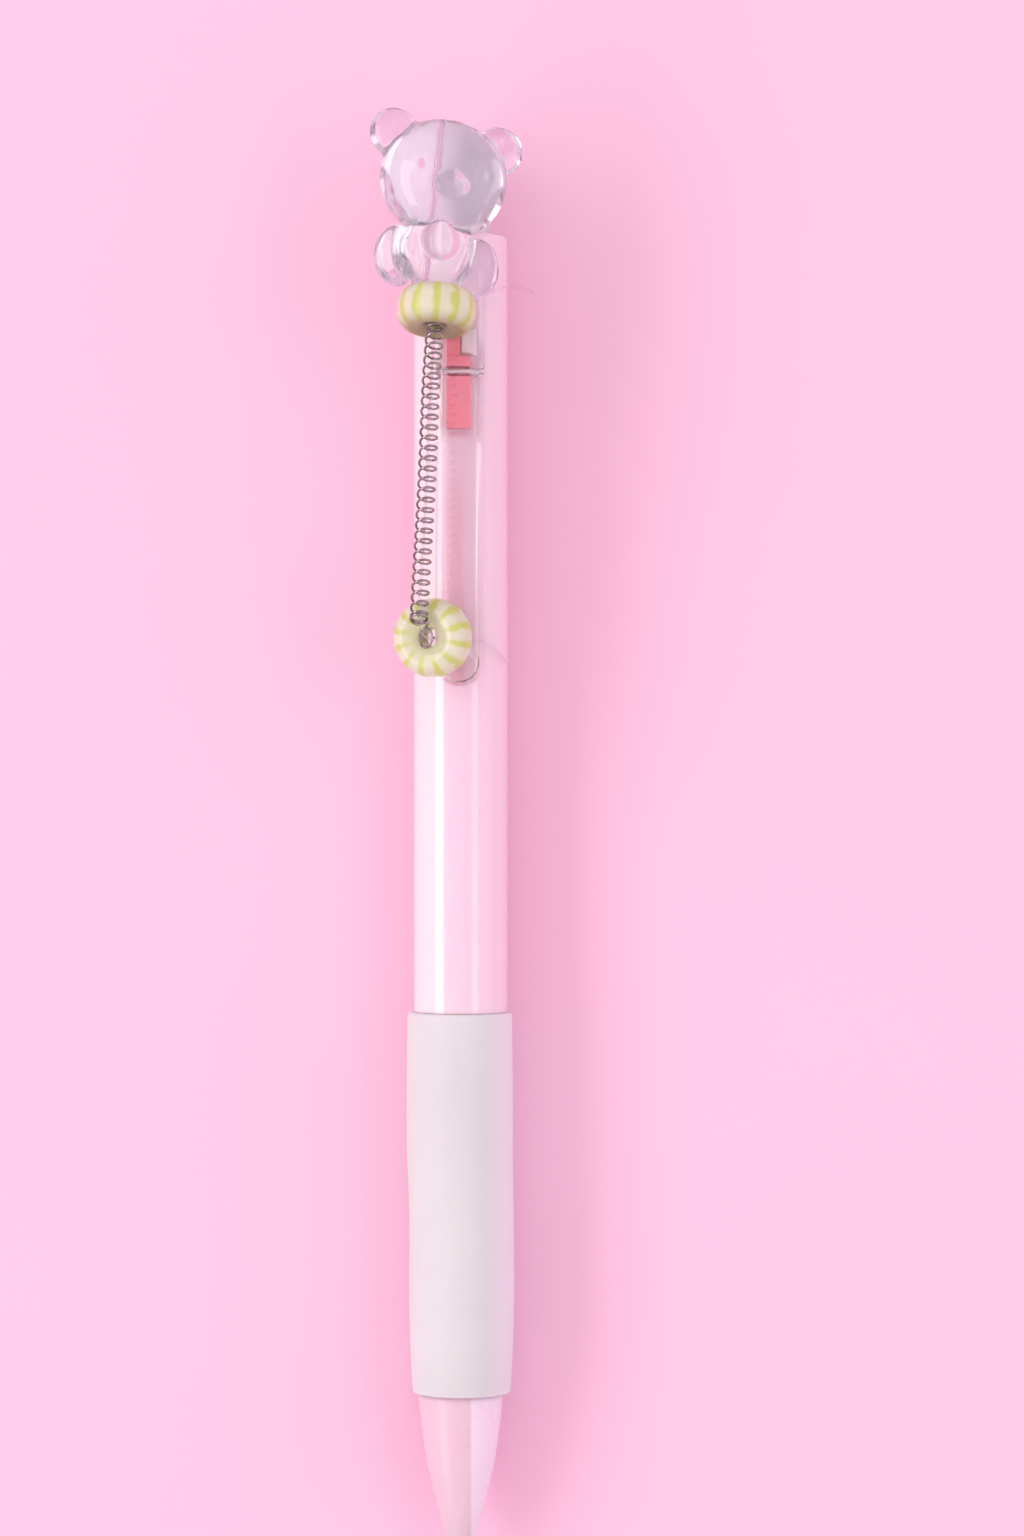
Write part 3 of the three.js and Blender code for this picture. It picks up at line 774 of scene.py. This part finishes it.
def refill_pieces():
    front, rear = tube_low.y, tube_high.y
    piece("nib_point", turned([
        (0, NIB_POINT, 0), (0.35, NIB_POINT, 0.05), (0.35, NIB_POINT + 3, 0.1), (1, NIB_POINT + 6.8, 0.3),
        (1, NIB_REAR, 0.05), (0.7, NIB_REAR, 0), (0.7, NIB_REAR + 2.5, 0.1), (0, NIB_REAR + 2.5, 0),
    ], closed=False, segments=48), "metal_nib", "nib_steel", on_axis())
    piece("ball_point", ball((0, NIB_POINT - 0.28, 0), (0.25,) * 3, 24), "nib_ball", "tungsten", on_axis())
    piece("adapter", turned([
        (0, NIB_REAR + 3, 0), (0.85, NIB_REAR + 3, 0), (0.85, NIB_REAR + 0.1, 0),
        (1.45, NIB_REAR + 0.1, 0.2), (1.45, SHOULDER, 0.1), (2.9, SHOULDER, 0.15),
        (2.9, front - 0.1, 0.05), (2.3, front - 0.1, 0), (2.3, front + 5, 0.2), (0, front + 5, 0),
    ], closed=False, segments=64), "refill_adapter", "cam_resin", on_axis())
    piece("ink_tube", turned([
        (2.9, front, 0.1), (2.9, rear, 0.1), (2.4, rear, 0.05), (2.4, front, 0.05),
    ], closed=True, segments=64), "refill_tube", "refill_resin", on_axis())
    for name, node, slot in (("ink", "ink_column", "ink"), ("follower", "ink_follower", "grease")):
        low, high = box_mm(node)
        filling = turned([
            (0, low.y, 0), (2.3, low.y, 0.3), (2.3, high.y, 0.3), (0, high.y - 0.3, 0),
        ], closed=False, segments=64)
        piece(name, filling, node, slot, on_axis())


def return_spring():
    low, high = box_mm("return_spring")
    radius, turns, wire = 1.8, 12, 0.15
    line = [Vector((0, low.y + wire, AXIS_Z)), Vector((0, high.y - wire, AXIS_Z))]
    wound = tube(coil(line, radius, turns, wire, 28), wire, 8)
    made = piece("feed_spring", wound, "return_spring", "steel")
    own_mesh(made)


refill_pieces()
return_spring()


# ---- clip, mount, pin and clip spring ----

HALF_CLIP = (clip_high.x - clip_low.x) / 2
CLIP_TOP = clip_high.z
ARM_UNDER = CLIP_TOP - 1.6
CEILING = CLIP_TOP - 0.7
PIN_RADIUS = 0.4
PIN_HOLE = 0.5


def stadium(inset):
    """The clip's outline from above: straight sides, a round front end and a square rear."""
    steps = 24
    centre = clip_low.y + HALF_CLIP
    radius = HALF_CLIP - inset
    outline = [(-radius, clip_high.y - inset * 0.3)]
    for k in range(steps + 1):
        angle = math.pi + math.pi * k / steps
        outline.append((radius * math.cos(angle), centre + radius * math.sin(angle)))
    outline.append((radius, clip_high.y - inset * 0.3))
    return outline


def clip_arm():
    """A flat bar with a broad chamfer above and below, lofted from four outlines."""
    bm = bmesh.new()
    levels = [(1.0, ARM_UNDER), (0, ARM_UNDER + 0.5), (0, CLIP_TOP - 0.5), (1.0, CLIP_TOP)]
    rings = [[bm.verts.new((x, y, z)) for x, y in stadium(inset)] for inset, z in levels]
    for low, high in zip(rings, rings[1:]):
        for k in range(len(low)):
            n = (k + 1) % len(low)
            bm.faces.new([low[k], low[n], high[n], high[k]])
    bm.faces.new(rings[0])
    bm.faces.new(rings[-1])
    bmesh.ops.recalc_face_normals(bm, faces=bm.faces)
    return bm


def clip_piece():
    """The bar with a deep root that the channel for the bracket is cut from, and a ball under its end."""
    rear = clip_high.y
    side = [
        (79, 11.6), (81, 10.55), (88, 10.45), (rear, 11.8), (rear, CLIP_TOP - 0.05), (79, CLIP_TOP - 0.05),
    ]
    root = prism(side, -HALF_CLIP, HALF_CLIP, along="x")
    channel = bmesh.new()
    block(channel, (-1.95, 80, 5), (1.95, rear + 1, CEILING))
    pin_hole = rod((-4, PIN.y, PIN.z), (4, PIN.y, PIN.z), PIN_HOLE)
    nub = ball((0, 56.4, 11.65), (1.9, 1.95, 1), 48)
    made = cut_and_join(clip_arm(), [root, nub], [channel, pin_hole])
    piece("clip_bar", made, "clip", "clip_resin")


def mount_piece():
    """The bracket on the barrel: two blocks and a lug, with a saddle cut open above the pin."""
    base = BARREL_TOP + 0.12
    front = bmesh.new()
    block(front, (-1.35, mount_low.y, base), (1.1, mount_high.y - 2.8, 11.95))
    rear = bmesh.new()
    block(rear, (-1.35, mount_high.y - 2.9, base), (0.05, mount_high.y, 11.5))
    lug = bmesh.new()
    block(lug, (-0.8, mount_low.y + 1.4, 9.5), (0.8, mount_low.y + 6.8, base + 0.1))
    pin_hole = rod((-4, PIN.y, PIN.z), (4, PIN.y, PIN.z), PIN_HOLE)
    saddle = bmesh.new()
    block(saddle, (-3, PIN.y - 0.5, PIN.z), (3, PIN.y + 0.5, CLIP_TOP))
    made = cut_and_join(front, [rear, lug], [pin_hole, saddle])
    piece("coral_bracket", made, "clip_mount", "coral_resin")


def pivot_pin():
    half_length = 2.35
    plain = rod((-half_length, PIN.y, PIN.z), (half_length, PIN.y, PIN.z), PIN_RADIUS)
    piece("pivot_pin", cut_and_join(plain, bevel=0.08), "clip_pin", "nib_steel")


def clip_boss():
    """A small block on the barrel, seen through the clip beside the bracket, in a pink painted lighter than
    the barrel's.
    """
    boss = bmesh.new()
    block(boss, (0.15, 88.2, AXIS_Z + 4.2), (1.65, 90.9, BARREL_TOP + 0.7))
    finish_mesh("clip_boss", cut_and_join(boss), "barrel", painted_lit_pink())


def clip_spring():
    low, high = box_mm("clip_spring")
    x, y = (low.x + high.x) / 2, (low.y + high.y) / 2
    radius, turns, wire = 0.6, 4, 0.1
    line = [Vector((x, y, low.z + wire)), Vector((x, y, high.z - wire))]
    wound = tube(coil(line, radius, turns, wire, 24), wire, 8)
    made = piece("lever_spring", wound, "clip_spring", "steel")
    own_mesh(made)


clip_piece()
mount_piece()
pivot_pin()
clip_boss()
clip_spring()


# ---- charm ----


def bear_turn():
    """Local Y is the bear's head direction, local Z its face, turned by its yaw."""
    across = BEAR_UP.cross(Vector((0, 0, 1))).normalized()
    out = across.cross(BEAR_UP)
    right = across * math.cos(BEAR_YAW) - out * math.sin(BEAR_YAW)
    face = across * math.sin(BEAR_YAW) + out * math.cos(BEAR_YAW)
    return Matrix((right, BEAR_UP, face)).transposed().to_4x4()


def merged(shapes):
    """Several bmeshes put into one."""
    whole = bmesh.new()
    for shape in shapes:
        mesh = bpy.data.meshes.new("part")
        shape.to_mesh(mesh)
        shape.free()
        whole.from_mesh(mesh)
        bpy.data.meshes.remove(mesh)
    return whole


def bear():
    """Moulded bear: round lumps melted together, dished ears, small eyes and a hole for the thread."""
    def paired(x, y, z, radii):
        return [ball((x, y, z), radii), ball((-x, y, z), radii)]

    head = ball((0, 0.1, 0), (6.6, 6.3, 5.15), 64)
    muzzle = ball((0, -1.8, 4.45), (1.9, 1.4, 0.95))
    nose = ball((0, -1.3, 5.35), (0.6, 0.42, 0.3))
    body_lump = ball((0, -8.0, -0.2), (4.3, 3.9, 3.0), 64)
    belly = ball((-0.2, -7.5, 2.6), (1.8, 2.05, 1.45))
    ears = paired(5.5, 4.3, -0.3, (2.65, 2.65, 1.75))
    eyes = paired(3.6, -0.3, 4.1, (0.5, 0.5, 0.45))
    limbs = paired(4.15, -9.2, 0.9, (2.45, 3.35, 1.7))
    lumps = [head, muzzle, nose, body_lump, belly, *ears, *eyes, *limbs]
    dishes = paired(5.65, 4.45, 2.1, (1.55, 1.55, 1.1))
    body = scratch(merged(lumps))
    string_hole = rod((STRAND_OFFSET, -20, 0), (STRAND_OFFSET, 12, 0), STRING_HOLE)
    cutters = [scratch(shape) for shape in [*dishes, string_hole]]
    fuse = body.modifiers.new("fuse", "REMESH")
    fuse.mode, fuse.voxel_size = "VOXEL", BEAR_VOXEL
    for cutter in cutters:
        hole = body.modifiers.new("hole", "BOOLEAN")
        hole.operation, hole.object, hole.solver = "DIFFERENCE", cutter, "EXACT"
    again = body.modifiers.new("even", "REMESH")
    again.mode, again.voxel_size = "VOXEL", BEAR_VOXEL
    melt = body.modifiers.new("melt", "SMOOTH")
    melt.factor, melt.iterations = 0.5, 30
    made = evaluated(body, cutters)
    bmesh.ops.transform(made, matrix=bear_turn(), verts=made.verts)
    return made


def ring_bead():
    """A fat ring with twelve faint lobes."""
    steps = 24
    middle = (BEAD_RADIUS + BEAD_HOLE) / 2
    reach = BEAD_RADIUS - middle
    outline = []
    for k in range(steps + 1):
        angle = math.pi * (k / steps - 0.5)
        swell = math.copysign(abs(math.sin(angle)) ** 0.8, math.sin(angle))
        outline.append((middle + reach * math.cos(angle), BEAD_HALF * swell, 0))
    outline += [(BEAD_HOLE, BEAD_HALF * 0.7, 0.3), (BEAD_HOLE, -BEAD_HALF * 0.7, 0.3)]

    def lobes(place, angle):
        r = math.hypot(place.x, place.z)
        grow = 1 - 0.014 * (1 - math.cos(12 * angle)) / 2 * max(0, (r - 2) / 2)
        return Vector((place.x * grow, place.y, place.z * grow))

    return turned(outline, closed=True, segments=144, shape=lobes)


STRAND = -Vector(JOINTS["upper_bead_spin"]["axis"]).normalized()
piece("clear_bear", bear(), "bear_bead", "clear_acrylic", Matrix.Translation(BEAR_PLACE))
for name, node, turned_bead in (
    ("striped_bead_upper", "upper_bead", facing(UPPER_BEAD, -STRAND)),
    ("striped_bead_lower", "lower_bead", facing(LOWER_BEAD, LOWER_BEAD_AXIS)),
):
    piece(name, ring_bead(), node, "striped_resin", turned_bead)

EYELET = Vector((-3.4, 58.7, 18.15))
EYELET_TILT = 0.85
COIL_LINE = even(smooth_path([
    UPPER_BEAD + STRAND * BEAD_HALF * 0.7, (-2.85, 84.5, 18.7), (-3.2, 76, 18.95), (-3.65, 68, 18.8),
    (-4.1, 60.5, 18.55),
], 16), 120)


def on_strand(y):
    """A place on the thread inside the bear, y along its head direction."""
    return BEAR_PLACE + bear_turn() @ Vector((STRAND_OFFSET, y, 0))


def crossing(made):
    """Takes a piece off its body, with its place baked into its mesh."""
    made.parent = None
    del made["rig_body"]
    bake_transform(made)


def charm_spring():
    """The coil between the beads, with a hook that ends at the eyelet."""
    radius, turns = 0.85, 31
    path = coil(COIL_LINE, radius, turns, WIRE, 28, lean=0.41, closed_turns=1.5)
    hook_points = [path[-1], EYELET + Vector((0.2, 1.6, 0.5)), EYELET + Vector((0, 1.05, 0.1))]
    hook = smooth_path(hook_points, 8)
    made = piece("coil_spring", tube(path + hook[1:], WIRE, 10), "charm_spring", "steel")
    crossing(made)


def strand_thread():
    route = [on_strand(5), on_strand(-4), on_strand(-11), UPPER_BEAD]
    route += [COIL_LINE[k] for k in (2, 30, 60, 90, 116)]
    route += [(-3.7, 59.2, 18.35), (-3.3, 58.8, 17.4), (-2.85, 58.8, 15.9)]
    made = piece("strand", tube(even(smooth_path(route, 12), 160), THREAD, 8), "strand_thread", "nylon")
    crossing(made)


def eyelet():
    axis = Vector((-math.sin(EYELET_TILT), 0, math.cos(EYELET_TILT)))
    angles = [2 * math.pi * k / 48 for k in range(48)]
    ring = [Vector((math.cos(angle), 0, math.sin(angle))) for angle in angles]
    piece("eyelet", tube(ring, WIRE, 10, closed=True), "bead_eyelet", "steel", facing(EYELET, axis))


def ties():
    lower = [
        (-2.65, 58.8, 15.4), (-2.15, 58.8, 13.9), (-2.3, 58.75, 13.35), (-2.9, 58.7, 12.85),
        (-3, 58.65, 12), (-2.6, 58.6, 11.2), (-1.4, 58.6, 10.95), (0, 58.6, 10.9), (1.4, 58.6, 10.95),
        (2.5, 58.5, 10.8), (3.3, 58, 10), (4.2, 57.2, 9), (5, 56.4, 7.9),
    ]
    upper = [
        (-1.6, 94.5, 13.3), (-2.5, 94.5, 13.1), (-2.95, 94.5, 12.3), (-2.95, 94.5, 11.1),
        (-2.35, 94.5, 10.2), (-1.1, 94.5, 10.6), (1.1, 94.5, 10.6), (2.35, 94.5, 10.2), (4, 94.9, 10.2),
        (5.6, 95.2, 10), (7.5, 94.7, 9.6),
    ]
    for name, route in (("lower_tie", lower), ("upper_tie", upper)):
        made = tube(even(smooth_path(route, 12), 110), THREAD, 8)
        piece(name, made, name + "_thread", "nylon")


charm_spring()
strand_thread()
eyelet()
ties()


# ---- stage: floor, light and camera ----

FLOOR_DROP = 0.02


def area_light(name, place, target, size, power, colour):
    data = bpy.data.lights.new(name, "AREA")
    data.shape, data.size, data.size_y = "RECTANGLE", size[0] * MM, size[1] * MM
    data.energy, data.color = power, colour
    lamp = bpy.data.objects.new(name, data)
    lamp.location = Vector(place) * MM
    lamp.rotation_euler = (Vector(target) - Vector(place)).to_track_quat("-Z", "Y").to_euler()
    bpy.context.scene.collection.objects.link(lamp)


def soft_room():
    """Pink room light, brighter overhead than at the horizon and brighter on the left."""
    world = bpy.data.worlds.new("soft_room")
    world.use_nodes = True
    tree = world.node_tree
    background = tree.nodes["Background"]
    background.inputs["Color"].default_value = srgb(255, 232, 242)
    direction = tree.nodes.new("ShaderNodeSeparateXYZ")
    link(tree, tree.nodes.new("ShaderNodeTexCoord"), "Generated", direction, "Vector")
    upward = ramped(tree, direction.outputs["Z"], 0.0, 0.9, 0.68, 0.93)
    leftward = sums(tree, "MULTIPLY_ADD", direction.outputs["X"], -0.1, 1.0)
    tree.links.new(sums(tree, "MULTIPLY", upward, leftward), background.inputs["Strength"])
    return world


def stage():
    """A pink paper floor just under the pen, with a key light on the left and two fills on the right."""
    bm = bmesh.new()
    bmesh.ops.create_grid(bm, x_segments=1, y_segments=1, size=1.0)
    mesh = bpy.data.meshes.new("floor")
    bm.to_mesh(mesh)
    bm.free()
    floor = bpy.data.objects.new("floor", mesh)
    floor.location.z = -FLOOR_DROP * MM
    bpy.context.scene.collection.objects.link(floor)
    paper = surface("paper", srgb(244, 199, 221), srgb(243, 196, 219), (0.7, 0.8), 0.01, 0.01, 1.0)
    mesh.materials.append(paper)
    bpy.context.scene.world = soft_room()
    middle = (0, 40, 5)
    area_light("key_left", (-475, 40, 370), middle, (900, 230), 2.0, (1.0, 0.95, 0.97))
    area_light("fill_right", (353, 40, 485), middle, (420, 170), 0.4, (1.0, 0.95, 1.0))
    area_light("low_right", (560, 40, 230), middle, (900, 400), 0.75, (0.96, 0.93, 1.0))


def camera():
    """Straight above the pen, with the knock at the top of the picture."""
    height = 450
    aim = Vector((5.35, 45.53))
    picture_half_height = 80.1
    sensor = 36
    data = bpy.data.cameras.new("camera")
    data.sensor_width = sensor
    data.lens = sensor / 2 * (height - AXIS_Z) / picture_half_height
    data.clip_start, data.clip_end = 0.01, 10
    lens = bpy.data.objects.new("camera", data)
    lens.location = Vector((aim.x, aim.y, height)) * MM
    bpy.context.scene.collection.objects.link(lens)
    bpy.context.scene.camera = lens


stage()
camera()
bpy.context.scene.view_settings.view_transform = "Standard"
bpy.context.scene.cycles.max_bounces = 24
bpy.context.scene.cycles.glossy_bounces = 16
bpy.context.scene.cycles.transmission_bounces = 24
